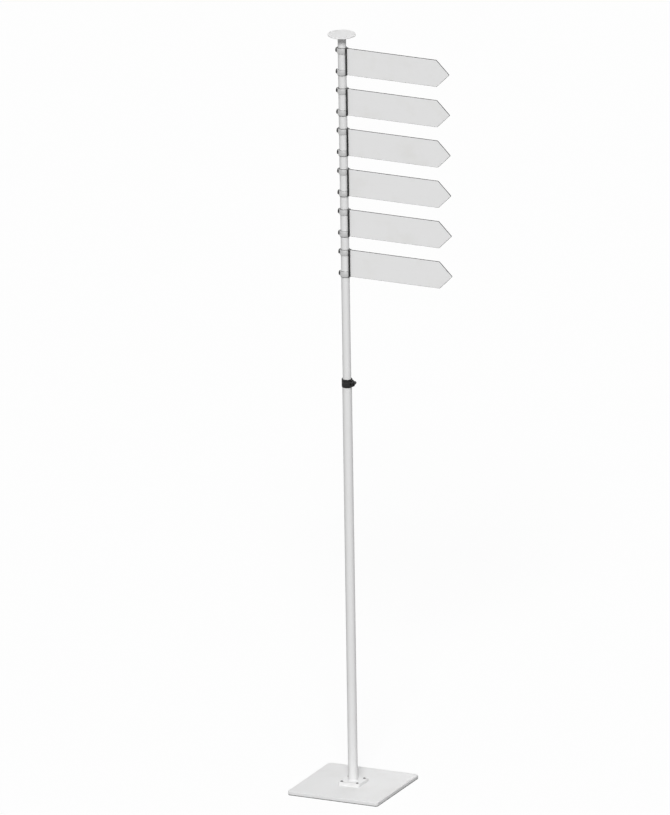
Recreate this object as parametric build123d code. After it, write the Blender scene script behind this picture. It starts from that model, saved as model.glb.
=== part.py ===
"""Telescopic floor sign stand with six turning arrow boards.

A square steel base carries a two-stage round mast. A lever clamp at the mouth of the lower tube holds the
upper tube at its height. Each board is held along its inner edge by a slotted profile, and two ring clips
hook into that profile behind its side lips and go round the mast on split bushes. A thumb screw at the back
of each clip fixes the board's height and direction.

All sizes are in millimetres. The origin lies on the mast's axis at the floor, +Z is up, and the boards
point along +X.
"""

import os
from math import cos, radians, sin, sqrt

from build123d import *

# Whole stand
stand_height = 2800.0  # floor to the top of the cap disc
seat_gap = 0.2  # play between pieces that seat on each other
turn_gap = 0.3  # play between pieces that turn or slide on each other
close_play = 0.05  # play round a tube, screw or stud in its own hole

# Base plate and the mat under it
plate_side = 350.0
plate_thickness = 12.0
plate_corner = 10.0
plate_edge_break = 0.8
mat_thickness = 2.0
mat_inset = 0.5

# Flange that joins the mast to the base
flange_side = 85.0
flange_thickness = 12.0
flange_corner = 10.0
weld_leg = 3.0

# Flange screws
screw_spacing = 60.0
screw_diameter = 6.0
screw_length = 16.0
screw_hole_play = 0.3
tapped_hole_spare_depth = 1.0
screw_head_diameter = 10.5
screw_head_height = 3.3
screw_socket_width = 4.0
screw_socket_depth = 2.0
screw_pocket_depth = 4.0
screw_pocket_play = 0.5
flange_washer_diameter = 12.0
flange_washer_thickness = 1.6

# Mast tubes
lower_diameter = 34.0
lower_wall = 1.7
mouth_height = 1516.0  # top end of the lower tube
upper_diameter = 30.0
upper_wall = 1.5
insertion = 170.0  # how far the upper tube reaches into the lower one at rest
mouth_slot_width = 3.0
mouth_slot_length = 22.0
mouth_slot_relief_diameter = 4.5

# Clamp collar at the mouth
collar_wall = 2.0
collar_height = 30.0
collar_lip = 2.0
collar_lip_play = 0.3
collar_edge_break = 0.6
collar_foot_taper = 4.0
collar_play = 0.1
ear_thickness = 4.5
ear_root_height = 26.0
ear_root_fillet = 2.0
ear_end_radius = 6.5
ear_hole_reach = 26.0  # mast axis to the clamp bolt

# Clamp bolt, nut, saddle, pin and lever
bolt_diameter = 6.0
bolt_hole_play = 0.2
bolt_thread_beyond_nut = 1.5
bolt_tip_taper = 0.8
bolt_eye_diameter = 9.0
bolt_eye_height = 6.0
nut_width = 10.0
nut_height = 5.0
nut_corner_break = 0.7
nut_washer_diameter = 12.0
nut_washer_thickness = 1.2
saddle_thickness = 2.0
saddle_width = 13.0
saddle_height = 16.0
pin_diameter = 5.0
pin_play = 0.05
pin_stand_out = 0.4
cam_radius = 5.0
cam_throw = 0.8  # offset of the cam's round from the pin
lever_height = 16.0
lever_thickness = 3.0
lever_radius = 23.0  # of the handle's middle line, about the mast axis
lever_start_angle = -40.0
lever_end_angle = -88.0
lever_tab_length = 8.0
lever_edge_break = 0.8

# Glide at the foot of the upper tube
glide_height = 8.0
glide_play = 0.2
spigot_play = 0.05
spigot_length = 22.0
glide_wall = 2.0

# Cap
cap_diameter = 100.0
cap_thickness = 4.0
cap_edge_radius = 1.2
cap_stud_diameter = 8.0
cap_stud_length = 18.0
cap_plug_length = 25.0
cap_plug_rib_count = 3
cap_plug_rib_height = 2.0
cap_plug_rib_depth = 1.0

# Arrow boards
board_count = 6
board_pitch = 150.0
first_board_drop = 50.0  # top of the cap to the top edge of the first board
board_height = 100.0
board_length = 400.0
board_thickness = 4.0
head_length = 50.0
head_corner_radius = 3.0
head_tip_radius = 3.0
board_edge_chamfer = 1.0

# Slotted edge profile
profile_core_width = 12.0
profile_lip = 1.1  # the two side walls outside the clips' legs
profile_lip_clearance = 0.4  # from the clips' rings to those walls
profile_wall = 1.2  # between the round back and the slot
profile_slot_depth = 3.4
profile_corner = 0.8
hook_groove_depth = 1.6
hook_groove_width = 1.6
hook_groove_lip = 1.5

# Ring clips, their screws and the split bushes inside them
clip_height = 20.0
clip_wall = 1.6
clip_play = 0.15
clip_boss_reach = 19.2  # mast axis to the back of the boss
clip_boss_width = 10.0
clip_boss_corner = 0.6
clip_screw_diameter = 5.0
clip_screw_play = 0.1
knob_diameter = 18.0
knob_thickness = 3.0
knob_edge_break = 0.4
knob_flute_count = 12
knob_flute_radius = 1.6
knob_flute_depth = 0.7
knob_dish_diameter = 10.0
knob_dish_depth = 0.6
bush_wall = 0.8
bush_flange_width = 1.7
bush_flange_thickness = 0.8
bush_slit = 1.5

# Places and radii that follow from the sizes above
plate_bottom = mat_thickness
plate_top = plate_bottom + plate_thickness
flange_top = plate_top + flange_thickness
washer_seat = flange_top - screw_pocket_depth
lower_radius = lower_diameter / 2
lower_bore_radius = lower_radius - lower_wall
upper_radius = upper_diameter / 2
upper_bore_radius = upper_radius - upper_wall
foot_height = mouth_height - insertion
cap_seat = stand_height - cap_thickness
collar_top = mouth_height + collar_lip
collar_bottom = collar_top - collar_height
collar_bore_radius = lower_radius + collar_play
collar_radius = collar_bore_radius + collar_wall
clamp_height = collar_bottom + collar_height / 2
ear_inner = mouth_slot_width / 2
ear_outer = ear_inner + ear_thickness
saddle_face = ear_outer + saddle_thickness
pin_y = -(saddle_face + turn_gap + cam_radius + cam_throw)
bush_bore_radius = upper_radius + turn_gap
bush_radius = bush_bore_radius + bush_wall
clip_bore_radius = bush_radius + turn_gap
clip_radius = clip_bore_radius + clip_wall
slot_floor = clip_bore_radius + profile_wall
profile_outer = slot_floor + profile_slot_depth
board_inner = slot_floor + seat_gap
groove_outer = profile_outer - hook_groove_lip
groove_inner = groove_outer - hook_groove_width
leg_inner = profile_core_width / 2 + clip_play
leg_outer = leg_inner + clip_wall
pocket_side = leg_outer + clip_play
profile_side = pocket_side + profile_lip
lip_start = sqrt(clip_radius**2 - pocket_side**2) + profile_lip_clearance


def upright(x=0.0, y=0.0, z=0.0):
    """Plane that faces along +Y, with its first direction along +X."""
    return Plane(origin=(x, y, z), x_dir=(1, 0, 0), z_dir=(0, 1, 0))


def rod(radius, bottom, top):
    """Round bar on the mast axis between two heights."""
    return Pos(0, 0, (bottom + top) / 2) * Cylinder(radius, top - bottom)


def pipe(outer_radius, inner_radius, bottom, top):
    """Round pipe on the mast axis between two heights."""
    ring = Circle(outer_radius) - Circle(inner_radius)
    return Pos(0, 0, bottom) * extrude(ring, top - bottom)


def turned(points):
    """Solid of revolution about the mast axis from (radius, height) points."""
    profile = Plane.XZ * Polygon(*points, align=None)
    return revolve(profile, Axis.Z)


def block(x_start, x_end, y_start, y_end):
    """Rectangle between two places along X and two along Y."""
    place = Pos((x_start + x_end) / 2, (y_start + y_end) / 2)
    return place * Rectangle(abs(x_end - x_start), abs(y_end - y_start))


def square_plate(side, thickness, corner, bottom):
    """Square plate with rounded corners and a broken top edge."""
    plate = Pos(0, 0, bottom) * extrude(RectangleRounded(side, side, corner), thickness)
    return chamfer(plate.faces().sort_by(Axis.Z)[-1].edges(), plate_edge_break)


def at_flange_screws(height):
    """The four places of the flange screws, at one height."""
    return Pos(0, 0, height) * GridLocations(screw_spacing, screw_spacing, 2, 2)


def base_plate():
    """Base plate with blind holes for the flange screws."""
    seat = washer_seat + flange_washer_thickness
    depth = screw_length - (seat - plate_top) + tapped_hole_spare_depth
    radius = screw_diameter / 2 + close_play
    plate = square_plate(plate_side, plate_thickness, plate_corner, plate_bottom)
    for place in at_flange_screws(plate_top):
        plate -= place * rod(radius, -depth, 0)
    return plate


def base_mat():
    """Rubber mat under the plate, set in from its edge."""
    side = plate_side - 2 * mat_inset
    return extrude(RectangleRounded(side, side, plate_corner - mat_inset), mat_thickness)


def mast_flange():
    """Flange with pockets for its screws and the weld bead that joins it to the lower tube."""
    bore = lower_radius + close_play
    hole = screw_diameter / 2 + screw_hole_play
    pocket = flange_washer_diameter / 2 + screw_pocket_play
    plate = square_plate(flange_side, flange_thickness, flange_corner, plate_top)
    plate -= rod(bore, plate_top, flange_top)
    for place in at_flange_screws(plate_top):
        plate -= place * rod(hole, 0, flange_thickness)
        plate -= place * rod(pocket, flange_thickness - screw_pocket_depth, flange_thickness)
    toe = (bore + weld_leg, flange_top)
    crown = (bore, flange_top + weld_leg)
    root = (bore, flange_top)
    middle = (bore + 0.6 * weld_leg, flange_top + 0.6 * weld_leg)
    outline = Line(root, toe) + ThreePointArc(toe, middle, crown) + Line(crown, root)
    bead = revolve(Plane.XZ * make_face(outline), Axis.Z)
    return plate + bead


def button_screw():
    """Flange screw with a domed head, its head seated at height 0."""
    shank = rod(screw_diameter / 2, -screw_length, 0)
    head = rod(screw_head_diameter / 2, 0, screw_head_height)
    head = fillet(head.edges().sort_by(Axis.Z)[-1], 0.8 * screw_head_height)
    socket = extrude(RegularPolygon(screw_socket_width / sqrt(3), 6), screw_socket_depth)
    return shank + head - Pos(0, 0, screw_head_height - screw_socket_depth) * socket


def flange_screws():
    """The four flange screws as separate solids."""
    screw = button_screw()
    seat = washer_seat + flange_washer_thickness
    return Compound([place * screw for place in at_flange_screws(seat)])


def flange_washers():
    """The four washers under the flange screws."""
    ring = Circle(flange_washer_diameter / 2) - Circle(screw_diameter / 2 + close_play)
    washer = extrude(ring, flange_washer_thickness)
    return Compound([place * washer for place in at_flange_screws(washer_seat)])


def lower_tube():
    """Outer tube of the mast, slotted at its mouth so that the collar can close it."""
    tube = pipe(lower_radius, lower_bore_radius, plate_top, mouth_height)
    slot = Box(lower_diameter, mouth_slot_width, mouth_slot_length)
    slot_bottom = mouth_height - mouth_slot_length
    tube -= Pos(lower_diameter / 2, 0, slot_bottom + mouth_slot_length / 2) * slot
    relief = Rot(0, 90, 0) * Cylinder(mouth_slot_relief_diameter / 2, lower_diameter)
    return tube - Pos(lower_diameter / 2, 0, slot_bottom) * relief


def collar_ring():
    """Turned body of the collar: a lip over the tube's end, broken edges and a tapered foot."""
    lip_radius = lower_bore_radius + collar_lip_play
    foot_radius = collar_radius - collar_edge_break
    return turned(
        [
            (collar_bore_radius, collar_bottom),
            (foot_radius, collar_bottom),
            (collar_radius, collar_bottom + collar_foot_taper),
            (collar_radius, collar_top - collar_edge_break),
            (collar_radius - collar_edge_break, collar_top),
            (lip_radius, collar_top),
            (lip_radius, mouth_height),
            (collar_bore_radius, mouth_height),
        ]
    )


def collar_ear(side):
    """One ear of the collar, tapered to a round end about the clamp bolt."""
    root = Pos(collar_bore_radius + collar_wall / 2, 0) * Rectangle(collar_wall, ear_root_height)
    end = Pos(ear_hole_reach, 0) * Circle(ear_end_radius)
    outline = make_hull([*root.edges(), *end.edges()])
    inner = ear_inner if side > 0 else -ear_outer
    return extrude(upright(0, inner, clamp_height) * outline, ear_thickness)


def clamp_collar():
    """Split collar with two ears and the bolt hole through them."""
    collar = collar_ring() + collar_ear(1) + collar_ear(-1)
    upright_edges = collar.edges().filter_by(Axis.Z)
    ear_roots = [edge for edge in upright_edges if abs(edge.center().Y) > ear_outer - turn_gap]
    collar = fillet(ear_roots, ear_root_fillet)
    collar -= rod(collar_bore_radius, collar_bottom, mouth_height)
    reach = ear_hole_reach + ear_end_radius
    slit = Pos(reach / 2, 0, clamp_height) * Box(reach, mouth_slot_width, 2 * collar_height)
    bolt_hole = Rot(90, 0, 0) * Cylinder(bolt_diameter / 2 + bolt_hole_play, 4 * ear_outer)
    return collar - slit - Pos(ear_hole_reach, 0, clamp_height) * bolt_hole


def cam_saddle():
    """Flat bearing plate between the cam and the front ear."""
    plate = RectangleRounded(saddle_width, saddle_height, saddle_thickness)
    plate -= Circle(bolt_diameter / 2 + bolt_hole_play)
    return extrude(upright(ear_hole_reach, -saddle_face, clamp_height) * plate, saddle_thickness)


def clamp_bolt():
    """Eye bolt through the ears; the lever's pin passes through its eye."""
    tip = ear_outer + nut_washer_thickness + nut_height + bolt_thread_beyond_nut
    length = tip - pin_y
    shank = Pos(0, length / 2, 0) * Rot(90, 0, 0) * Cylinder(bolt_diameter / 2, length)
    shank = chamfer(shank.edges().sort_by(Axis.Y)[-1], bolt_tip_taper)
    eye = rod(bolt_eye_diameter / 2, -bolt_eye_height / 2, bolt_eye_height / 2)
    bolt = shank + eye - rod(pin_diameter / 2 + pin_play, -bolt_eye_height, bolt_eye_height)
    return Pos(ear_hole_reach, pin_y, clamp_height) * bolt


def clamp_nut():
    """Hexagon nut with its washer, on the back ear."""
    bore = Circle(bolt_diameter / 2 + close_play)
    washer = extrude(Circle(nut_washer_diameter / 2) - bore, nut_washer_thickness)
    corner_radius = nut_width / sqrt(3)
    nut = extrude(RegularPolygon(corner_radius, 6) - bore, nut_height)
    dome = rod(corner_radius, 0, nut_height)
    nut &= chamfer(dome.edges().sort_by(Axis.Z)[-1], nut_corner_break)
    pair = washer + Pos(0, 0, nut_washer_thickness) * nut
    return upright(ear_hole_reach, ear_outer, clamp_height) * pair


def lever_pin():
    """Pivot pin of the lever, standing out a little at both ends."""
    pin = Cylinder(pin_diameter / 2, lever_height + 2 * pin_stand_out)
    pin = chamfer(pin.edges(), pin_stand_out / 2)
    return Pos(ear_hole_reach, pin_y, clamp_height) * pin


def on_handle_line(angle):
    """Point of the handle's middle line at an angle about the mast axis."""
    return (lever_radius * cos(radians(angle)), lever_radius * sin(radians(angle)))


def cam_lever():
    """Lever with a forked cam head and a handle that lies round the collar."""
    head = Pos(ear_hole_reach, pin_y + cam_throw) * Circle(cam_radius)
    root = Pos(*on_handle_line(lever_start_angle)) * Circle(lever_thickness / 2)
    arm = make_hull([*head.edges(), *root.edges()])
    sweep = lever_end_angle - lever_start_angle
    handle = SlotArc(CenterArc((0, 0), lever_radius, lever_start_angle, sweep), lever_thickness)
    x, y = on_handle_line(lever_end_angle)
    along = (sin(radians(lever_end_angle)), -cos(radians(lever_end_angle)))
    knee = Pos(x, y) * Circle(lever_thickness / 2)
    tab_end = Pos(x + lever_tab_length * along[0], y + lever_tab_length * along[1])
    tip = tab_end * Circle(lever_thickness / 2)
    tab = make_hull([*knee.edges(), *tip.edges()])
    lever = Pos(0, 0, clamp_height) * extrude(arm + handle + tab, lever_height / 2, both=True)
    lever = chamfer(lever.faces().filter_by(Axis.Z).edges(), lever_edge_break)
    fork = Cylinder(cam_radius + 2 * cam_throw + turn_gap, bolt_eye_height + 2 * turn_gap)
    bore = Cylinder(pin_diameter / 2 + pin_play, 2 * lever_height)
    return lever - Pos(ear_hole_reach, pin_y, clamp_height) * (fork + bore)


def upper_tube():
    """Inner tube of the mast."""
    return pipe(upper_radius, upper_bore_radius, foot_height, cap_seat)


def mast_glide():
    """Plug that guides the foot of the upper tube, hollow from below."""
    rim = lower_bore_radius - glide_play
    spigot = upper_bore_radius - spigot_play
    shoulder = foot_height - seat_gap
    bottom = shoulder - glide_height
    top = shoulder + spigot_length
    hollow = spigot - glide_wall
    return turned(
        [
            (hollow, bottom),
            (rim - collar_edge_break, bottom),
            (rim, bottom + collar_edge_break),
            (rim, shoulder),
            (spigot, shoulder),
            (spigot, top - glide_wall / 2),
            (spigot - glide_wall / 2, top),
            (0, top),
            (0, top - glide_wall),
            (hollow, top - glide_wall),
        ]
    )


def cap_disc():
    """Round disc on top of the mast, with the stud that fixes it to the plug."""
    disc = rod(cap_diameter / 2, cap_seat, stand_height)
    disc = fillet(disc.edges().filter_by(GeomType.CIRCLE), cap_edge_radius)
    return disc + rod(cap_stud_diameter / 2, cap_seat - cap_stud_length, cap_seat)


def cap_plug():
    """Ribbed plug in the top end of the upper tube."""
    outer = upper_bore_radius - spigot_play
    core = outer - cap_plug_rib_depth
    plug = pipe(core, cap_stud_diameter / 2 + close_play, cap_seat - cap_plug_length, cap_seat)
    rib_pitch = cap_plug_length / cap_plug_rib_count
    for index in range(cap_plug_rib_count):
        rib_top = cap_seat - index * rib_pitch
        plug += pipe(outer, core - cap_plug_rib_depth, rib_top - cap_plug_rib_height, rib_top)
    return plug


def sign_board():
    """Flat arrow panel, its top edge at height 0."""
    half = board_height / 2
    neck = board_inner + board_length - head_length
    tip = board_inner + board_length
    outline = Polygon(
        (board_inner, -half),
        (neck, -half),
        (tip, 0),
        (neck, half),
        (board_inner, half),
        align=None,
    )
    corners = outline.vertices().sort_by(Axis.X)
    outline = fillet(corners[2:4], head_corner_radius)
    outline = fillet(outline.vertices().sort_by(Axis.X)[-1], head_tip_radius)
    panel = extrude(upright(0, 0, -half) * outline, board_thickness / 2, both=True)
    return chamfer(panel.faces().filter_by(Axis.Y).edges(), board_edge_chamfer)


def edge_profile():
    """Slotted extrusion: a core with a round back that clears the bushes, and a side lip over each leg."""
    core_side = profile_core_width / 2
    section = block(0, profile_outer, -profile_side, profile_side)
    section = fillet(section.vertices().sort_by(Axis.X)[-2:], profile_corner)
    section -= Circle(clip_bore_radius)
    slot_side = (board_thickness + seat_gap) / 2
    section -= block(slot_floor, 2 * profile_outer, -slot_side, slot_side)
    for side in (1, -1):
        section -= block(0, groove_outer, side * core_side, side * pocket_side)
        section -= block(groove_inner, groove_outer, side * (core_side - hook_groove_depth), side * pocket_side)
        section -= block(0, lip_start, side * core_side, side * 2 * profile_side)
    return Pos(0, 0, -board_height) * extrude(section, board_height)


def clip_section():
    """Plan of a ring clip: a band round the mast, a boss at the back and two hooked ends."""
    band = Circle(clip_radius)
    boss_depth = clip_boss_reach
    boss = Pos(-boss_depth / 2, 0) * Rectangle(boss_depth, clip_boss_width)
    boss = fillet(boss.vertices().sort_by(Axis.X)[:2], clip_boss_corner)
    leg_end = groove_outer - clip_play
    legs = Pos(leg_end / 2, 0) * Rectangle(leg_end, 2 * leg_outer)
    mouth = Pos(clip_radius, 0) * Rectangle(2 * clip_radius, 2 * leg_inner)
    section = band + boss + legs - Circle(clip_bore_radius) - mouth
    hook_width = hook_groove_width - 2 * clip_play
    hook_reach = hook_groove_depth
    for side in (1, -1):
        hook = Rectangle(hook_width, hook_reach + clip_wall / 2)
        middle_y = leg_inner - clip_play / 2 - (hook_reach - clip_wall / 2) / 2
        section += Pos(leg_end - hook_width / 2, side * middle_y) * hook
    return section


def ring_clip(height):
    """Ring clip standing on a height, with the threaded hole in its boss."""
    clip = Pos(0, 0, height) * extrude(clip_section(), clip_height)
    drill = Rot(0, 90, 0) * Cylinder(clip_screw_diameter / 2, clip_boss_reach)
    return clip - Pos(-clip_boss_reach / 2 - bush_radius / 2, 0, height + clip_height / 2) * drill


def thumb_screw():
    """Thumb screw along +Z: a shank from the bush to the boss and a fluted knob behind it."""
    tip = bush_radius + seat_gap
    seat = clip_boss_reach + seat_gap
    back = seat + knob_thickness
    knob = rod(knob_diameter / 2, seat, back)
    knob = chamfer(knob.edges(), knob_edge_break)
    knob -= rod(knob_dish_diameter / 2, back - knob_dish_depth, back)
    flute_place = knob_diameter / 2 - knob_flute_depth + knob_flute_radius
    for place in PolarLocations(flute_place, knob_flute_count):
        knob -= place * rod(knob_flute_radius, seat, back)
    return knob + rod(clip_screw_diameter / 2 - clip_screw_play, tip, seat)


def clip_screw(height):
    """Thumb screw in a clip's boss, its tip near the bush."""
    return Pos(0, 0, height + clip_height / 2) * (Rot(0, -90, 0) * thumb_screw())


def split_bush(height, flange_below):
    """Split bush between a clip and the mast, with a flange at its outer end."""
    top = height + clip_height
    bush = pipe(bush_radius, bush_bore_radius, height - turn_gap, top + turn_gap)
    if flange_below:
        flange_bottom = height - turn_gap - bush_flange_thickness
    else:
        flange_bottom = top + turn_gap
    flange_radius = bush_radius + bush_flange_width
    bush += pipe(flange_radius, bush_bore_radius, flange_bottom, flange_bottom + bush_flange_thickness)
    slit = Box(bush_slit, flange_radius, 2 * clip_height)
    return bush - Pos(0, flange_radius / 2 + bush_bore_radius / 2, height + clip_height / 2) * slit


def board_parts():
    """The pieces of one board, its top edge at height 0, by node name."""
    upper = -clip_height
    lower = -board_height
    return {
        "sign_board": sign_board(),
        "edge_profile": edge_profile(),
        "upper_clip": ring_clip(upper),
        "lower_clip": ring_clip(lower),
        "clip_screws": Compound([clip_screw(upper), clip_screw(lower)]),
        "clip_bushes": Compound([split_bush(upper, False), split_bush(lower, True)]),
    }


def single_parts():
    """The pieces that the stand has once, by node name."""
    return {
        "base_plate": base_plate(),
        "base_mat": base_mat(),
        "mast_flange": mast_flange(),
        "flange_screws": flange_screws(),
        "flange_washers": flange_washers(),
        "lower_tube": lower_tube(),
        "clamp_collar": clamp_collar(),
        "cam_saddle": cam_saddle(),
        "clamp_bolt": clamp_bolt(),
        "clamp_nut": clamp_nut(),
        "lever_pin": lever_pin(),
        "cam_lever": cam_lever(),
        "mast_glide": mast_glide(),
        "upper_tube": upper_tube(),
        "cap_plug": cap_plug(),
        "cap_disc": cap_disc(),
    }


def main():
    """Writes one STEP file for each node."""
    os.makedirs("parts", exist_ok=True)
    nodes = single_parts()
    board = board_parts()
    for index in range(board_count):
        top_edge = stand_height - first_board_drop - index * board_pitch
        for name, shape in board.items():
            nodes[f"{name}_{index + 1}"] = Pos(0, 0, top_edge) * shape
    for name, shape in nodes.items():
        export_step(shape, f"parts/{name}.step")
    print(len(nodes), "nodes")


main()
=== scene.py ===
# %% [markdown]
# # A telescopic floor sign stand
#
# The stand is a heavy square plate with a two-stage round mast. A black lever clamp holds the upper tube at
# its height, and six flat arrow boards turn and slide on ring clips. The CAD model is already a fixed frame,
# in metres, with +Z up and the boards along +X. This script gives it finished surfaces, and it makes anew
# the pieces whose long tubes and thin edges need a finer mesh than the CAD file carries.

from math import cos, pi, radians, sin, tan

import bmesh
import bpy
from mathutils import Matrix, Vector


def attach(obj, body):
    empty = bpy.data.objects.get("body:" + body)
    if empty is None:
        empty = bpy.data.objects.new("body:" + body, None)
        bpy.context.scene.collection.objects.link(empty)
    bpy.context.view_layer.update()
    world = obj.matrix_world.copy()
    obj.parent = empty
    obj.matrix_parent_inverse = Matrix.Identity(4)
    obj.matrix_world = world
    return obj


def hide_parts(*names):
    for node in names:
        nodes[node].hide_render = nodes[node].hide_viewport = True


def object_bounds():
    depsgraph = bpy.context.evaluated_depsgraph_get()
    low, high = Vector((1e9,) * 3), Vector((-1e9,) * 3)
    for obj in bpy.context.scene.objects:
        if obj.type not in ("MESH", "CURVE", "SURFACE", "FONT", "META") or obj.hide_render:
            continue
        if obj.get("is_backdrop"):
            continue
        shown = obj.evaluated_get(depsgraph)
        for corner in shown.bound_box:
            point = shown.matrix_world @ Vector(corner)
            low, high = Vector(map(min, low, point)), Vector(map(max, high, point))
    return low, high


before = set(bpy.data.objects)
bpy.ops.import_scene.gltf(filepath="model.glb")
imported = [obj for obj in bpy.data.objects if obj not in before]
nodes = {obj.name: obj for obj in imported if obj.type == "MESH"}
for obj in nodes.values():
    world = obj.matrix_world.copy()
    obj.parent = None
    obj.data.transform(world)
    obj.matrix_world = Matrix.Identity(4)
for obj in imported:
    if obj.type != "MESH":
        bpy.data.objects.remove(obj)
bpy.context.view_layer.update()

# %% [markdown]
# The drawing that the stand is built from is a parallel projection, so the camera is orthographic: all
# boards keep the same size, however high they hang. It stands 25 degrees to the right of the boards' front
# and looks down a little. The sheet was scanned slightly askew, so the camera rolls by less than a degree.
# Its scale is the long side of the picture in metres.

# %% Camera
AZIMUTH = radians(25.26)
ELEVATION = radians(18.40)
ROLL = radians(0.873)
PICTURE = (670, 815)  # width and height in pixels
PIXELS_PER_METRE = 283.3
CAP_PIXEL = (341.75, 33.95)  # where the middle of the cap's top lies in the picture
STAND_HEIGHT = 2.8
CAMERA_DISTANCE = 8.0

back = Vector((sin(AZIMUTH) * cos(ELEVATION), -cos(AZIMUTH) * cos(ELEVATION), sin(ELEVATION)))
level_right = Vector((cos(AZIMUTH), sin(AZIMUTH), 0))
level_up = back.cross(level_right)
right = cos(ROLL) * level_right - sin(ROLL) * level_up
up = cos(ROLL) * level_up + sin(ROLL) * level_right

across = (CAP_PIXEL[0] - PICTURE[0] / 2) / PIXELS_PER_METRE
above = (PICTURE[1] / 2 - CAP_PIXEL[1]) / PIXELS_PER_METRE
middle = Vector((0, 0, STAND_HEIGHT)) - across * right - above * up

camera_data = bpy.data.cameras.new("camera")
camera_data.type = "ORTHO"
camera_data.ortho_scale = PICTURE[1] / PIXELS_PER_METRE
camera_data.clip_end = 60
camera = bpy.data.objects.new("camera", camera_data)
turn = Matrix((right, up, back)).transposed()
camera.matrix_world = Matrix.Translation(middle + CAMERA_DISTANCE * back) @ turn.to_4x4()
bpy.context.scene.collection.objects.link(camera)
bpy.context.scene.camera = camera
print("picture is", round(camera_data.ortho_scale, 3), "m high")

# %% [markdown]
# White things on a white ground are read by their shading alone. The key light comes over the camera's
# shoulder: what faces the camera is bright, and what turns away falls off to grey, so each tube gets a darker
# line down both of its sides. A weak light from above lifts the level faces a little more. A low light from
# behind serves the far side: higher up, the level faces would mirror it towards the camera and lose their
# tone. Sun lamps with a wide angle stay even over all 2.8 metres, which a near lamp would not. Each lamp has
# the direction that its light comes from, its strength and its angle in degrees.

# %% Lights
LAMPS = {
    "key": ((0.38, -0.92, 0.84), 2.55, 16),
    "top": ((0.05, -0.10, 1.00), 0.30, 40),
    "rear": ((-0.05, 1.00, 0.12), 1.15, 40),
}
for name, (direction, strength, width) in LAMPS.items():
    lamp_data = bpy.data.lights.new(name, "SUN")
    lamp_data.energy = strength
    lamp_data.angle = radians(width)
    lamp = bpy.data.objects.new(name, lamp_data)
    lamp.rotation_euler = Vector(direction).to_track_quat("Z", "Y").to_euler()
    bpy.context.scene.collection.objects.link(lamp)
print("lamps:", ", ".join(LAMPS))

# %% [markdown]
# Node trees are easier to read when one small helper makes a node, sets its values and links its inputs.
# A value that is a socket is linked, and any other value is typed into the socket.

# %% Node helpers
def add_node(tree, kind, settings=None, **inputs):
    """Makes a node with its properties, and fills or links its inputs, named in words or as i0, i1, i2."""
    node = tree.nodes.new(kind)
    for key, value in (settings or {}).items():
        setattr(node, key, value)
    for key, value in inputs.items():
        socket = node.inputs[int(key[1:])] if key[1:].isdigit() else node.inputs[key.replace("_", " ")]
        if isinstance(value, bpy.types.NodeSocket):
            tree.links.new(value, socket)
        else:
            socket.default_value = value
    return node


def maths(tree, operation, first, second=0.0, third=0.0, clamp=False):
    """Output of a Math node."""
    settings = {"operation": operation, "use_clamp": clamp}
    return add_node(tree, "ShaderNodeMath", settings, i0=first, i1=second, i2=third).outputs[0]


def noise(tree, vector, scale, detail=2.0, roughness=0.5):
    """Output of a Noise Texture node, in cells to the metre."""
    return add_node(
        tree, "ShaderNodeTexNoise", Vector=vector, Scale=scale, Detail=detail, Roughness=roughness
    ).outputs["Fac"]


def spread(tree, value, low, high, to_low=0.0, to_high=1.0):
    """Output of a Map Range node that clamps."""
    settings = {"clamp": True}
    return add_node(
        tree, "ShaderNodeMapRange", settings, i0=value, i1=low, i2=high, i3=to_low, i4=to_high
    ).outputs[0]


def blend(tree, factor, first, second):
    """Colour output of a Mix node."""
    node = tree.nodes.new("ShaderNodeMix")
    node.data_type = "RGBA"
    for socket, value in ((node.inputs[0], factor), (node.inputs[6], first), (node.inputs[7], second)):
        if isinstance(value, bpy.types.NodeSocket):
            tree.links.new(value, socket)
        else:
            socket.default_value = value
    return node.outputs[2]


def grey(value):
    """Opaque neutral colour."""
    return (value, value, value, 1.0)


def new_group(name, inputs, outputs):
    """Shader node group with its sockets. Returns the tree, its input node's outputs, and its output node."""
    tree = bpy.data.node_groups.new(name, "ShaderNodeTree")
    for socket_name, kind, value in inputs:
        socket = tree.interface.new_socket(socket_name, in_out="INPUT", socket_type=kind)
        socket.default_value = value
    for socket_name, kind in outputs:
        tree.interface.new_socket(socket_name, in_out="OUTPUT", socket_type=kind)
    return tree, tree.nodes.new("NodeGroupInput").outputs, tree.nodes.new("NodeGroupOutput")


FLOAT = "NodeSocketFloat"
COLOUR = "NodeSocketColor"

# %% [markdown]
# The floor is part of the picture, not of the stand. It has to look white behind a white object and still
# catch a soft shadow, so for the camera, for reflections and for light through glass it is mostly plain
# white, mixed with a little of a lit white surface. For all other rays it is an ordinary grey floor, which
# throws back less light, so that the sides of the tubes stay darker than their fronts.

# %% Floor
FLOOR_HALF_SIDE = 30.0
FLOOR_GREY = 0.40
FLOOR_SHARE_OF_WHITE = 0.90


def looking_rays(tree):
    """1 for rays from the camera, off gloss and through glass, and 0 for all others."""
    rays = add_node(tree, "ShaderNodeLightPath").outputs
    seen = maths(tree, "ADD", rays["Is Camera Ray"], rays["Is Glossy Ray"], clamp=True)
    return maths(tree, "ADD", seen, rays["Is Transmission Ray"], clamp=True)


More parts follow.
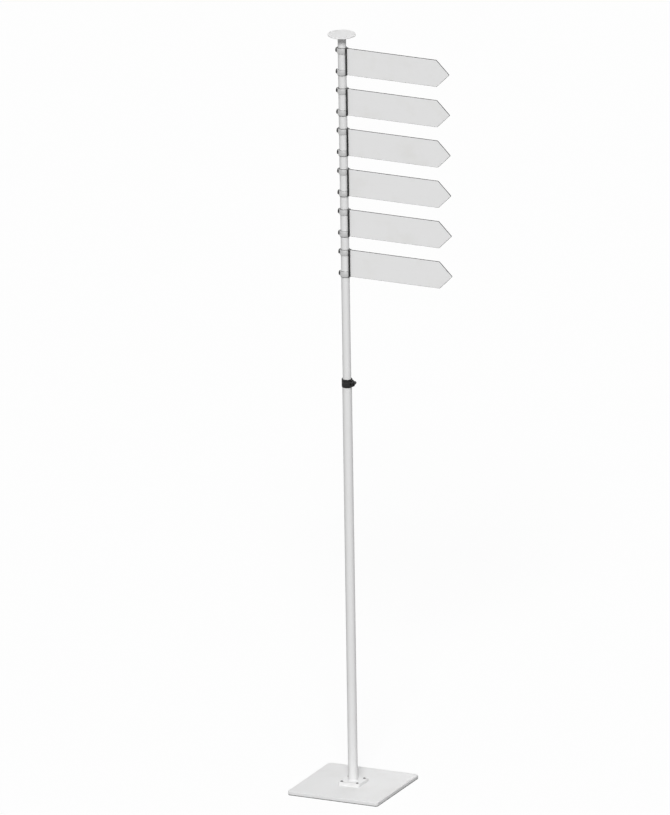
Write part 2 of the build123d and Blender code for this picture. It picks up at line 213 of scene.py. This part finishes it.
bm = bmesh.new()
bmesh.ops.create_grid(bm, x_segments=1, y_segments=1, size=FLOOR_HALF_SIDE)
floor_mesh = bpy.data.meshes.new("floor")
bm.to_mesh(floor_mesh)
bm.free()
floor = bpy.data.objects.new("floor", floor_mesh)
bpy.context.scene.collection.objects.link(floor)
floor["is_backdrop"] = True

floor_material = bpy.data.materials.new("pale_floor")
floor_material.use_nodes = True
tree = floor_material.node_tree
tree.nodes.clear()
place = add_node(tree, "ShaderNodeTexCoord").outputs["Object"]
mottle = spread(tree, noise(tree, place, 3.0, detail=4.0), 0.3, 0.7, to_low=0.98, to_high=1.0)
seen = looking_rays(tree)
tone = blend(tree, mottle, grey(0.0), blend(tree, seen, grey(FLOOR_GREY), grey(1.0)))
lit = add_node(tree, "ShaderNodeBsdfDiffuse", Color=tone).outputs[0]
white = add_node(tree, "ShaderNodeEmission", Color=grey(1.0), Strength=1.0).outputs[0]
share = maths(tree, "MULTIPLY", seen, FLOOR_SHARE_OF_WHITE)
shown = add_node(tree, "ShaderNodeMixShader", i0=share, i1=lit, i2=white).outputs[0]
tree.links.new(shown, add_node(tree, "ShaderNodeOutputMaterial").inputs[0])
floor_mesh.materials.append(floor_material)
print("floor side:", 2 * FLOOR_HALF_SIDE, "m")

# %% [markdown]
# The sky is the same on all sides. The camera and the reflections see it white, and the object is lit by much
# less of it, because an even light from everywhere takes the shading off a round tube. The view transform is
# Standard, so that a colour renders about as it is written.

# %% Sky
SKY_LIGHT = 0.21

world = bpy.data.worlds.new("studio")
world.use_nodes = True
tree = world.node_tree
tree.nodes.clear()
soft = add_node(tree, "ShaderNodeBackground", Color=grey(1.0), Strength=SKY_LIGHT).outputs[0]
plain = add_node(tree, "ShaderNodeBackground", Color=grey(1.0), Strength=1.0).outputs[0]
sky = add_node(tree, "ShaderNodeMixShader", i0=looking_rays(tree), i1=soft, i2=plain).outputs[0]
tree.links.new(sky, add_node(tree, "ShaderNodeOutputWorld").inputs[0])
bpy.context.scene.world = world
bpy.context.scene.view_settings.view_transform = "Standard"
print("sky light:", SKY_LIGHT)

# %% [markdown]
# Powder coat is a melted plastic film. Close up it has the fine waviness of orange peel, and from further
# off it is even, with slightly duller patches where hands and feet touch it. One node group gives that
# surface to every coated piece: it puts out a colour, a roughness and a height, and each material chooses
# its own size and strength.

# %% Powder coat group
tree, given, result = new_group(
    "powder_coat",
    [
        ("Colour", COLOUR, grey(0.8)),
        ("Handled Colour", COLOUR, grey(0.7)),
        ("Roughness", FLOAT, 0.4),
        ("Peel Scale", FLOAT, 900.0),
    ],
    [("Colour", COLOUR), ("Roughness", FLOAT), ("Height", FLOAT)],
)
place = add_node(tree, "ShaderNodeTexCoord").outputs["Object"]
peel = noise(tree, place, given["Peel Scale"], detail=1.5)
cloud = noise(tree, place, 9.0, detail=5.0, roughness=0.6)
handled = spread(tree, cloud, 0.52, 0.75)
fine_scale = maths(tree, "MULTIPLY", given["Peel Scale"], 2.7)
fine = noise(tree, place, fine_scale, detail=1.0)
tree.links.new(blend(tree, handled, given["Colour"], given["Handled Colour"]), result.inputs["Colour"])
duller = maths(tree, "MULTIPLY_ADD", handled, 0.10, given["Roughness"])
duller = maths(tree, "MULTIPLY_ADD", fine, 0.06, duller)
tree.links.new(duller, result.inputs["Roughness"])
tree.links.new(maths(tree, "MULTIPLY_ADD", fine, 0.25, peel), result.inputs["Height"])
powder_coat = tree

# %% [markdown]
# Small scratches and rubbed lines turn up on metal that slides or is screwed down. Long thin cells of
# noise, stretched along one direction, read as drawing lines or as scratches depending on their contrast.
# This group takes the direction as a stretch of the coordinates, so that one group serves the lines along a
# profile, the lines round a clip and the grain of a board.

# %% Drawn lines group
tree, given, result = new_group(
    "drawn_lines",
    [("Stretch", "NodeSocketVector", (1.0, 1.0, 0.01)), ("Scale", FLOAT, 2000.0), ("Contrast", FLOAT, 0.5)],
    [("Lines", FLOAT), ("Scratches", FLOAT)],
)
place = add_node(tree, "ShaderNodeTexCoord").outputs["Object"]
settings = {"operation": "MULTIPLY"}
stretched = add_node(tree, "ShaderNodeVectorMath", settings, i0=place, i1=given["Stretch"]).outputs[0]
lines = noise(tree, stretched, given["Scale"], detail=3.0, roughness=0.7)
half = maths(tree, "MULTIPLY", given["Contrast"], 0.5)
low = maths(tree, "SUBTRACT", 0.5, half)
high = maths(tree, "ADD", 0.5, half)
tree.links.new(spread(tree, lines, low, high), result.inputs["Lines"])
coarse = maths(tree, "MULTIPLY", given["Scale"], 0.2)
rare = noise(tree, stretched, coarse, detail=2.0, roughness=0.6)
tree.links.new(spread(tree, rare, 0.68, 0.74), result.inputs["Scratches"])
drawn_lines = tree

# %% [markdown]
# Each finish is one Principled shader. A value that is the same all over a piece is typed into the shader's
# own socket, and what changes over the surface comes from a group or a pattern. Relief goes through a Bump
# node, because it is much finer than any mesh of these pieces.

# %% Material helpers
def new_material(name, **values):
    """Material with one Principled shader whose plain sockets are set, with its tree and that shader."""
    material = bpy.data.materials.new(name)
    material.use_nodes = True
    material.node_tree.nodes.clear()
    shader = add_node(material.node_tree, "ShaderNodeBsdfPrincipled", **values)
    output = add_node(material.node_tree, "ShaderNodeOutputMaterial")
    material.node_tree.links.new(shader.outputs[0], output.inputs[0])
    return material, material.node_tree, shader


def use_group(tree, group, **inputs):
    """Outputs of a node group placed in a material."""
    return add_node(tree, "ShaderNodeGroup", {"node_tree": group}, **inputs).outputs


def bump(tree, shader, height, depth):
    """Feeds a height through a Bump node into the shader's normal. The depth is in metres."""
    node = add_node(tree, "ShaderNodeBump", Height=height, Strength=1.0, Distance=depth)
    tree.links.new(node.outputs[0], shader.inputs["Normal"])


# %% [markdown]
# The white finish of the mast, flange, cap and base is a satin powder coat, a little warmer where it has
# been handled. The clamp has the same kind of coat in black, with a finer and shallower peel, and its handled
# places are paler instead.

# %% Coated metal
def coated_metal(name, colour, handled_colour, peel_scale, peel_depth):
    """Metal with a satin powder coat. The depth of its peel is in metres."""
    material, tree, shader = new_material(name, Specular_IOR_Level=0.3)
    coat = use_group(
        tree, powder_coat,
        Colour=colour, Handled_Colour=handled_colour, Roughness=0.50, Peel_Scale=peel_scale,
    )
    tree.links.new(coat["Colour"], shader.inputs["Base Color"])
    tree.links.new(coat["Roughness"], shader.inputs["Roughness"])
    bump(tree, shader, coat["Height"], peel_depth)
    return material


white_coat = coated_metal(
    "white_coat", grey(0.80), (0.772, 0.769, 0.762, 1.0), peel_scale=480.0, peel_depth=0.00008
)
black_clamp = coated_metal(
    "black_clamp", grey(0.010), grey(0.020), peel_scale=1500.0, peel_depth=0.00006
)
print("coated metals:", white_coat.name, black_clamp.name)

# %% [markdown]
# The boards are compact laminate: white faces pressed on a core that is black right through. The face is
# very even, with a faint grain along the board and a few fine scratches. The core shows wherever the board
# is cut, as a black line round each face, with the upright marks of the router on it.

# %% Laminate faces and core
laminate_white, tree, shader = new_material("laminate_white", Specular_IOR_Level=0.5)
coat = use_group(
    tree, powder_coat,
    Colour=grey(0.84), Handled_Colour=(0.80, 0.798, 0.785, 1.0), Roughness=0.30, Peel_Scale=380.0,
)
grain = use_group(tree, drawn_lines, Stretch=(0.03, 1.0, 1.0), Scale=900.0, Contrast=0.6)
face = blend(tree, maths(tree, "MULTIPLY", grain["Scratches"], 0.12), coat["Colour"], grey(0.62))
tree.links.new(face, shader.inputs["Base Color"])
dulled = maths(tree, "MULTIPLY_ADD", grain["Lines"], 0.07, coat["Roughness"])
tree.links.new(dulled, shader.inputs["Roughness"])
bump(tree, shader, maths(tree, "MULTIPLY_ADD", grain["Lines"], 0.4, coat["Height"]), 0.000012)

laminate_core, tree, shader = new_material("laminate_core", Specular_IOR_Level=0.2)
marks = use_group(tree, drawn_lines, Stretch=(1.0, 0.05, 0.25), Scale=2600.0, Contrast=0.5)
tree.links.new(blend(tree, marks["Lines"], grey(0.006), grey(0.018)), shader.inputs["Base Color"])
tree.links.new(spread(tree, marks["Lines"], 0.0, 1.0, to_low=0.5, to_high=0.7), shader.inputs["Roughness"])
bump(tree, shader, marks["Lines"], 0.00004)

# %% [markdown]
# The edge profile is an aluminium extrusion with a black anodised skin, and the ring clips are plain satin
# anodised. Both show the fine lines of their making, along the profile and round the clip. The clip is a
# metal whose colour comes from what it reflects, so its roughness carries most of the look.

# %% Anodised aluminium
black_anodised, tree, shader = new_material("black_anodised", Specular_IOR_Level=0.3, Metallic=0.15)
lines = use_group(tree, drawn_lines, Stretch=(1.0, 1.0, 0.012), Scale=3200.0, Contrast=0.5)
dark = blend(tree, lines["Lines"], grey(0.010), grey(0.018))
tree.links.new(blend(tree, lines["Scratches"], dark, grey(0.06)), shader.inputs["Base Color"])
tree.links.new(spread(tree, lines["Lines"], 0.0, 1.0, to_low=0.36, to_high=0.50), shader.inputs["Roughness"])
bump(tree, shader, lines["Lines"], 0.00002)

clip_alloy, tree, shader = new_material("clip_alloy", Specular_IOR_Level=0.5, Metallic=0.8)
lines = use_group(tree, drawn_lines, Stretch=(0.05, 0.05, 1.0), Scale=3000.0, Contrast=0.5)
bright = blend(tree, lines["Lines"], grey(0.50), grey(0.60))
tree.links.new(blend(tree, lines["Scratches"], bright, grey(0.46)), shader.inputs["Base Color"])
tree.links.new(spread(tree, lines["Lines"], 0.0, 1.0, to_low=0.46, to_high=0.58), shader.inputs["Roughness"])
bump(tree, shader, lines["Lines"], 0.000015)

# %% [markdown]
# Screws, bolt, nut and pin are blackened steel: a thin dark oxide that lets a little bare metal through in
# small rubbed patches. The bushes, plug and glide are moulded in dark plastic with a spark-eroded skin, and
# the mat is rubber with a fine dimple.

# %% Blackened steel, plastic and rubber
black_steel, tree, shader = new_material("black_steel", Specular_IOR_Level=0.3, Metallic=0.35)
place = add_node(tree, "ShaderNodeTexCoord").outputs["Object"]
patch = noise(tree, place, 420.0, detail=4.0, roughness=0.65)
rubbed = spread(tree, patch, 0.60, 0.72)
tree.links.new(blend(tree, rubbed, grey(0.014), grey(0.045)), shader.inputs["Base Color"])
tree.links.new(spread(tree, rubbed, 0.0, 1.0, to_low=0.50, to_high=0.40), shader.inputs["Roughness"])
bump(tree, shader, noise(tree, place, 2400.0, detail=2.0), 0.00003)

dark_plastic, tree, shader = new_material("dark_plastic", Specular_IOR_Level=0.5)
place = add_node(tree, "ShaderNodeTexCoord").outputs["Object"]
spark = noise(tree, place, 3200.0, detail=2.0, roughness=0.7)
tree.links.new(blend(tree, spark, grey(0.022), grey(0.040)), shader.inputs["Base Color"])
tree.links.new(spread(tree, spark, 0.3, 0.7, to_low=0.46, to_high=0.60), shader.inputs["Roughness"])
bump(tree, shader, spark, 0.00004)

mat_rubber, tree, shader = new_material("mat_rubber", Specular_IOR_Level=0.35)
place = add_node(tree, "ShaderNodeTexCoord").outputs["Object"]
dimples = add_node(tree, "ShaderNodeTexVoronoi", Vector=place, Scale=350.0).outputs["Distance"]
dust = spread(tree, noise(tree, place, 30.0, detail=5.0, roughness=0.6), 0.45, 0.7)
tree.links.new(blend(tree, dust, grey(0.020), grey(0.050)), shader.inputs["Base Color"])
tree.links.new(spread(tree, dust, 0.0, 1.0, to_low=0.75, to_high=0.92), shader.inputs["Roughness"])
bump(tree, shader, dimples, 0.0002)
print("materials:", len(bpy.data.materials))

# %% [markdown]
# A CAD node that stays keeps its shape and only changes its material. Its name tells which finish it has.

# %% Finish the CAD nodes
BOARDS = range(1, 7)
finishes = {
    "base_plate": white_coat,
    "base_mat": mat_rubber,
    "mast_flange": white_coat,
    "flange_screws": black_steel,
    "flange_washers": black_steel,
    "lower_tube": white_coat,
    "clamp_collar": black_clamp,
    "clamp_bolt": black_steel,
    "clamp_nut": black_steel,
    "cam_saddle": black_steel,
    "lever_pin": black_steel,
    "cam_lever": black_clamp,
    "mast_glide": dark_plastic,
    "upper_tube": white_coat,
    "cap_plug": dark_plastic,
    "cap_disc": white_coat,
}
for number in BOARDS:
    finishes[f"sign_board_{number}"] = laminate_white
    finishes[f"edge_profile_{number}"] = black_anodised
    finishes[f"upper_clip_{number}"] = clip_alloy
    finishes[f"lower_clip_{number}"] = clip_alloy
    finishes[f"clip_screws_{number}"] = black_steel
    finishes[f"clip_bushes_{number}"] = dark_plastic
for name, material in finishes.items():
    mesh = nodes[name].data
    mesh.materials.clear()
    mesh.materials.append(material)
print("finished nodes:", len(finishes))

# %% [markdown]
# Every new piece ends the same way: its normals point outwards, its mesh is smooth except across sharp
# edges, it rides on the body of the node it stands for, and that node is hidden.

# %% Piece helpers
MM = 0.001
SHARP = radians(32)  # an edge that turns by more than this stays sharp
JOINED = 1e-7  # metres: new vertices closer than this are one
NEAR = 1e-6  # metres: closer than this counts as on the spot


def finish_piece(bm, name, body, slot, materials, *replaced):
    """Turns a bmesh into a piece that rides on a body and stands for CAD nodes."""
    bmesh.ops.recalc_face_normals(bm, faces=bm.faces)
    mesh = bpy.data.meshes.new(name)
    bm.to_mesh(mesh)
    bm.free()
    mesh.shade_smooth()
    mesh.set_sharp_from_angle(angle=SHARP)
    for material in materials:
        mesh.materials.append(material)
    piece = bpy.data.objects.new(name, mesh)
    bpy.context.scene.collection.objects.link(piece)
    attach(piece, body)
    if replaced:
        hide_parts(*replaced)
    size = [round(value / MM, 1) for value in piece.dimensions]
    print(name, "size in mm:", size, "faces:", len(mesh.polygons))


def bevel(bm, parts, width, segments, affect="EDGES", clamp=True):
    """Rounds edges, or the corners of a flat face, by a width in millimetres."""
    bmesh.ops.bevel(
        bm, geom=parts, offset=width * MM, offset_type="OFFSET", segments=segments, profile=0.5,
        affect=affect, material=-1, clamp_overlap=clamp,
    )


def sharp_edges(bm, angle=SHARP):
    """Edges whose two faces meet at more than an angle."""
    return [edge for edge in bm.edges if len(edge.link_faces) == 2 and edge.calc_face_angle() > angle]


# %% [markdown]
# A round piece is turned on a lathe: a few vertices draw half of its section, and spin carries them round
# the mast's axis. use_merge joins the last step to the first. Where the section touches the axis, the
# doubled vertices are merged, so that the pole is closed.

# %% Lathe
def lathe(section, steps):
    """Turns a closed section of (radius, height) points in millimetres about the mast axis."""
    bm = bmesh.new()
    corners = [bm.verts.new((radius * MM, 0, height * MM)) for radius, height in section]
    ring = corners + [corners[0]] if section[0][0] > 0 else corners
    edges = [bm.edges.new(pair) for pair in zip(ring, ring[1:])]
    bmesh.ops.spin(
        bm, geom=corners + edges, cent=(0, 0, 0), axis=(0, 0, 1), dvec=(0, 0, 0), angle=2 * pi, steps=steps,
        use_merge=True, use_normal_flip=False, use_duplicate=False,
    )
    bmesh.ops.remove_doubles(bm, verts=bm.verts, dist=JOINED)
    bmesh.ops.recalc_face_normals(bm, faces=bm.faces)
    return bm


# %% [markdown]
# The tubes are the longest pieces and the roundest, and the CAD file's mesh of them has visible flats. Each
# is turned anew with enough steps for a smooth outline. The lower tube is slotted at its mouth so that the
# clamp can close it: two cuts with bisect_plane mark the slot, its faces are deleted, and edgenet_fill
# closes the cut walls.

# %% Lower tube
TUBE_STEPS = 96
LOWER_RADIUS = 17.0
LOWER_BORE = 15.3
PLATE_TOP = 14.0
MOUTH = 1516.0
SLOT_BOTTOM = 1494.0
SLOT_HALF = 1.5

bm = lathe(
    [(LOWER_BORE, PLATE_TOP), (LOWER_RADIUS, PLATE_TOP), (LOWER_RADIUS, MOUTH), (LOWER_BORE, MOUTH)],
    TUBE_STEPS,
)
for side in (-1, 1):
    bmesh.ops.bisect_plane(
        bm, geom=bm.verts[:] + bm.edges[:] + bm.faces[:],
        plane_co=(0, side * SLOT_HALF * MM, 0), plane_no=(0, 1, 0), dist=JOINED,
    )
bmesh.ops.bisect_plane(
    bm, geom=bm.verts[:] + bm.edges[:] + bm.faces[:],
    plane_co=(0, 0, SLOT_BOTTOM * MM), plane_no=(0, 0, 1), dist=JOINED,
)
in_slot = []
for face in bm.faces:
    centre = face.calc_center_median()
    if centre.x > 0 and abs(centre.y) < SLOT_HALF * MM and centre.z > SLOT_BOTTOM * MM:
        in_slot.append(face)
bmesh.ops.delete(bm, geom=in_slot, context="FACES")
rim = [edge for edge in bm.edges if edge.is_boundary]
low_corners = {}
for vertex in bm.verts:
    at_bottom = abs(vertex.co.z - SLOT_BOTTOM * MM) < NEAR
    at_wall = abs(abs(vertex.co.y) - SLOT_HALF * MM) < NEAR
    if vertex.is_boundary and at_bottom and at_wall:
        low_corners.setdefault(vertex.co.y > 0, []).append(vertex)
across_wall = [bm.edges.new(pair) for pair in low_corners.values()]
bmesh.ops.edgenet_fill(bm, edges=rim + across_wall)
finish_piece(bm, "lower_tube_smooth", "root", "white_coat", [white_coat], "lower_tube")

# %% [markdown]
# The upper tube slides in the lower one. It has no slot, so the lathe alone makes it.

# %% Upper tube
UPPER_RADIUS = 15.0
UPPER_BORE = 13.5
FOOT = 1346.0
CAP_SEAT = 2796.0

bm = lathe(
    [(UPPER_BORE, FOOT), (UPPER_RADIUS, FOOT), (UPPER_RADIUS, CAP_SEAT), (UPPER_BORE, CAP_SEAT)],
    TUBE_STEPS,
)
finish_piece(bm, "upper_tube_smooth", "mast", "white_coat", [white_coat], "upper_tube")

# %% [markdown]
# The cap is a flat disc with rounded rims, on a short stud. The lathe makes the plain disc, and bevel then
# rounds both rims. The stud's edges are sharp too, so the rims are picked by how far out they lie.

# %% Cap disc
CAP_RADIUS = 50.0
CAP_TOP = 2800.0
CAP_STEPS = 128
RIM_ROUND = 1.2
RIM_STEPS = 4
RIM_ZONE = 0.9  # both rims lie further out than this part of the radius
STUD_RADIUS = 4.0
STUD_FOOT = 2778.0

bm = lathe(
    [(0, CAP_TOP), (CAP_RADIUS, CAP_TOP), (CAP_RADIUS, CAP_SEAT), (STUD_RADIUS, CAP_SEAT),
     (STUD_RADIUS, STUD_FOOT), (0, STUD_FOOT)],
    CAP_STEPS,
)
rims = [edge for edge in sharp_edges(bm) if edge.verts[0].co.xy.length > RIM_ZONE * CAP_RADIUS * MM]
bevel(bm, rims, RIM_ROUND, RIM_STEPS)
finish_piece(bm, "cap_disc_rounded", "mast", "white_coat", [white_coat], "cap_disc")

# %% [markdown]
# No real edge is quite sharp: a casting has a radius, an extrusion is rolled over a little, and a coat of
# paint rounds what is left. That thin round is what catches the light, so the small CAD pieces get it too. A
# copy of each is merged into one skin, and dissolve_limit takes out the edges inside its flat faces. Then
# only the edges that turn by more than a given angle are bevelled, each by a fraction of a millimetre. An
# edge that ends at something shorter than the bevel is left sharp, because there the bevel would fold over.

# %% Softened copies of small pieces
CAD_ARC_STEP = radians(28)  # the arcs of the small CAD pieces turn by less than this at each edge
ONE_FACE = radians(0.4)  # triangles that turn by less than this belong to one flat face
SOFT_STEPS = 2
CASTING_ROUND = 0.25
STAMPING_ROUND = 0.2
THIN_ROUND = 0.15


def soften(name, body, slot, width):
    """Replaces a CAD node by a copy whose sharp edges are rounded by a width in millimetres."""
    bm = bmesh.new()
    bm.from_mesh(nodes[name].data)
    bmesh.ops.remove_doubles(bm, verts=bm.verts, dist=NEAR)
    bmesh.ops.dissolve_limit(
        bm, angle_limit=ONE_FACE, use_dissolve_boundaries=False, verts=bm.verts, edges=bm.edges
    )
    crowded = {vertex for edge in bm.edges if edge.calc_length() < width * MM for vertex in edge.verts}
    free = [edge for edge in sharp_edges(bm, CAD_ARC_STEP) if not crowded.intersection(edge.verts)]
    bevel(bm, free, width, SOFT_STEPS, clamp=False)
    finish_piece(bm, f"{name}_softened", body, slot, [finishes[name]], name)


soften("clamp_collar", "root", "black_clamp", CASTING_ROUND)
soften("cam_lever", "lever", "black_clamp", CASTING_ROUND)
soften("cam_saddle", "root", "black_steel", STAMPING_ROUND)
for number in BOARDS:
    for clip in ("upper_clip", "lower_clip"):
        soften(f"{clip}_{number}", f"board_{number}", "clip_alloy", STAMPING_ROUND)
    soften(f"edge_profile_{number}", f"board_{number}", "black_anodised", THIN_ROUND)
    soften(f"clip_screws_{number}", f"board_{number}", "black_steel", THIN_ROUND)

# %% [markdown]
# The base is a thick steel plate with rounded corners. A cube is scaled to the plate, its upright edges are
# bevelled to the corner radius, and then the top and bottom edges get a small round that catches the light.

# %% Base plate
PLATE_BOTTOM = 2.0
PLATE_SIDE = 350.0
PLATE_CORNER = 10.0
CORNER_STEPS = 10
EDGE_ROUND = 0.8
EDGE_STEPS = 3
PLATE_CREASE = radians(60)  # the top and bottom edges turn by 90 degrees, the steps of a corner by 9

bm = bmesh.new()
bmesh.ops.create_cube(bm, size=1.0)
bmesh.ops.scale(bm, vec=(PLATE_SIDE * MM, PLATE_SIDE * MM, (PLATE_TOP - PLATE_BOTTOM) * MM), verts=bm.verts)
bmesh.ops.translate(bm, vec=(0, 0, (PLATE_BOTTOM + PLATE_TOP) / 2 * MM), verts=bm.verts)
uprights = [edge for edge in bm.edges if abs(edge.verts[0].co.z - edge.verts[1].co.z) > MM / 2]
bevel(bm, uprights, PLATE_CORNER, CORNER_STEPS)
bevel(bm, sharp_edges(bm, PLATE_CREASE), EDGE_ROUND, EDGE_STEPS)
finish_piece(bm, "base_plate_rounded", "root", "white_coat", [white_coat], "base_plate")

# %% [markdown]
# The flange is the small plate at the foot of the mast. Its four screws stand in round pockets, and a boolean
# could cut those, but it leaves untidy edges that bevel badly. Instead the top face is drawn first, as loops:
# a rounded square and five circles inside it. triangle_fill fills the face between the loops and leaves the
# circles open. Each loop is then extruded down by its own depth. Two helpers draw a loop and sink it.

# %% Loop helpers
def circle(bm, radius, x, y, z, segments):
    """Loop of edges round a point, in millimetres."""
    place = Matrix.Translation((x * MM, y * MM, z * MM))
    made = bmesh.ops.create_circle(bm, cap_ends=False, segments=segments, radius=radius * MM, matrix=place)
    return list(dict.fromkeys(edge for vertex in made["verts"] for edge in vertex.link_edges))


def sink(bm, loop, depth, close):
    """Extrudes a loop of edges down and may close its far end with one face."""
    made = bmesh.ops.extrude_edge_only(bm, edges=loop)["geom"]
    moved = [item for item in made if isinstance(item, bmesh.types.BMVert)]
    bmesh.ops.translate(bm, vec=(0, 0, -depth * MM), verts=moved)
    low_loop = [
        item for item in made
        if isinstance(item, bmesh.types.BMEdge) and all(vertex in moved for vertex in item.verts)
    ]
    if close:
        bmesh.ops.contextual_create(bm, geom=low_loop)
    return low_loop


# %% [markdown]
# With the helpers the flange is short work. The pockets are closed at their bottom, the bore for the tube is
# not, and a second fill closes the underside round the bore.

# %% Flange
FLANGE_TOP = 26.0
FLANGE_SIDE = 85.0
FLANGE_CORNER = 10.0
FLANGE_BORE = 17.05
BORE_STEPS = 64
SCREW_PLACE = 30.0
POCKET_RADIUS = 6.5
POCKET_STEPS = 32
POCKET_DEPTH = 4.0

bm = bmesh.new()
half = FLANGE_SIDE / 2 * MM
square = ((-1, -1), (1, -1), (1, 1), (-1, 1))
corners = [bm.verts.new((x * half, y * half, FLANGE_TOP * MM)) for x, y in square]
bm.faces.new(corners)
bevel(bm, corners, FLANGE_CORNER, CORNER_STEPS, affect="VERTICES")
bmesh.ops.delete(bm, geom=bm.faces[:], context="FACES_ONLY")
rim = bm.edges[:]
bore = circle(bm, FLANGE_BORE, 0, 0, FLANGE_TOP, BORE_STEPS)
pockets = [
    circle(bm, POCKET_RADIUS, x * SCREW_PLACE, y * SCREW_PLACE, FLANGE_TOP, POCKET_STEPS)
    for x in (-1, 1) for y in (-1, 1)
]
bmesh.ops.triangle_fill(bm, use_beauty=True, use_dissolve=False, edges=bm.edges[:])
foot_rim = sink(bm, rim, FLANGE_TOP - PLATE_TOP, close=False)
foot_bore = sink(bm, bore, FLANGE_TOP - PLATE_TOP, close=False)
bmesh.ops.triangle_fill(bm, use_beauty=True, use_dissolve=False, edges=foot_rim + foot_bore)
for pocket in pockets:
    sink(bm, pocket, POCKET_DEPTH, close=True)
bmesh.ops.recalc_face_normals(bm, faces=bm.faces)
bevel(bm, rim, EDGE_ROUND, EDGE_STEPS)
finish_piece(bm, "mast_flange_rounded", "root", "white_coat", [white_coat], "mast_flange")

# %% [markdown]
# Round the tube runs the weld. A hand-laid bead is a row of overlapping ripples: the lathe turns a plain
# fillet, and then each step of it moves in a little, in a saw-tooth that repeats every few degrees.

# %% Weld bead
WELD_LEG = 3.0
WELD_FULLNESS = 0.55  # how far the fillet bulges beyond a straight chamfer: 1 would be a quarter circle
WELD_FACETS = 8
WELD_STEPS = 240
RIPPLES = 40
RIPPLE_DEPTH = 0.22
RIPPLE_SWAY = 0.15  # how far a ripple leans to either side, as a part of its own width

bead_section = [(LOWER_RADIUS, FLANGE_TOP), (LOWER_RADIUS + WELD_LEG, FLANGE_TOP)]
for step in range(1, WELD_FACETS):
    angle = pi / 2 * step / WELD_FACETS
    bulge = WELD_LEG * (cos(angle) + sin(angle) - 1) * WELD_FULLNESS
    reach = WELD_LEG * (1 - step / WELD_FACETS)
    rise = WELD_LEG * step / WELD_FACETS
    bead_section.append((LOWER_RADIUS + reach + bulge / 2, FLANGE_TOP + rise + bulge / 2))
bead_section.append((LOWER_RADIUS, FLANGE_TOP + WELD_LEG))
bm = lathe(bead_section, WELD_STEPS)
for vertex in bm.verts:
    out = vertex.co.xy.length - LOWER_RADIUS * MM
    over = vertex.co.z - FLANGE_TOP * MM
    if out > NEAR and over > NEAR:
        phase = RIPPLES * vertex.co.xy.angle_signed(Vector((1, 0))) / (2 * pi)
        sway = RIPPLE_SWAY * sin(6 * pi * over / (WELD_LEG * MM))
        tooth = (phase + sway) % 1.0
        pull = 1 - RIPPLE_DEPTH * MM * tooth / vertex.co.xy.length
        vertex.co.x *= pull
        vertex.co.y *= pull
finish_piece(bm, "weld_bead", "root", "white_coat", [white_coat])

# %% [markdown]
# A board starts as five vertices. Its three outer corners are rounded by a vertex bevel, which is the same
# operator as for edges with affect set to VERTICES: its offset is measured along the edges, so a sharper
# corner needs a longer one for the same radius. One extrusion gives the board its thickness, and a bevel of
# one segment is the chamfer that the router leaves. Only the two faces keep the white finish: every face
# that was cut, edge and chamfer alike, takes the core's black.

# %% Arrow panel
BOARD_INNER = 17.8
BOARD_TIP = 417.8
NECK = 367.8
HALF_HEIGHT = 50.0
HALF_THICKNESS = 2.0
CORNER_RADIUS = 3.0
TIP_TANGENT = CORNER_RADIUS  # the tip is a right angle
NECK_TANGENT = CORNER_RADIUS * tan(radians(22.5))  # at its neck the outline turns by 45 degrees
ROUNDING_STEPS = 6
EDGE_CHAMFER = 1.0
FACING = 0.99  # the least part of a face's normal that lies along Y on the board's two flat sides


def arrow_panel():
    """Arrow panel with chamfered black edges, its middle at height 0."""
    bm = bmesh.new()
    outline = [(BOARD_INNER, -HALF_HEIGHT), (NECK, -HALF_HEIGHT), (BOARD_TIP, 0), (NECK, HALF_HEIGHT),
               (BOARD_INNER, HALF_HEIGHT)]
    corners = [bm.verts.new((x * MM, -HALF_THICKNESS * MM, z * MM)) for x, z in outline]
    bm.faces.new(corners)
    bevel(bm, [corners[1], corners[3]], NECK_TANGENT, ROUNDING_STEPS, affect="VERTICES")
    tip = max(bm.verts, key=lambda vertex: vertex.co.x)
    bevel(bm, [tip], TIP_TANGENT, ROUNDING_STEPS, affect="VERTICES")
    made = bmesh.ops.extrude_face_region(bm, geom=bm.faces[:])["geom"]
    far_side = [item for item in made if isinstance(item, bmesh.types.BMVert)]
    bmesh.ops.translate(bm, vec=(0, 2 * HALF_THICKNESS * MM, 0), verts=far_side)
    bmesh.ops.recalc_face_normals(bm, faces=bm.faces)
    flat = [face for face in bm.faces if abs(face.normal.y) > FACING]
    bevel(bm, list(dict.fromkeys(edge for face in flat for edge in face.edges)), EDGE_CHAMFER, 1)
    for face in bm.faces:
        face.material_index = 0 if abs(face.normal.y) > FACING else 1
    return bm


# %% [markdown]
# The six boards are equal, and each hangs one pitch below the last. Each rides on its own body, so that it
# turns and slides by itself.

# %% Six boards on the mast
FIRST_BOARD = 2700.0
PITCH = 150.0

for number in BOARDS:
    bm = arrow_panel()
    bmesh.ops.translate(bm, vec=(0, 0, (FIRST_BOARD - PITCH * (number - 1)) * MM), verts=bm.verts)
    finish_piece(
        bm, f"arrow_board_{number}", f"board_{number}", "board_white", [laminate_white, laminate_core],
        f"sign_board_{number}",
    )

# %% [markdown]
# The dressed stand is built to fill the same box as the CAD model, and here the box it fills is printed.

low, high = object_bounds()
print("visual box:", [round(value, 4) for value in (*low, *high)])
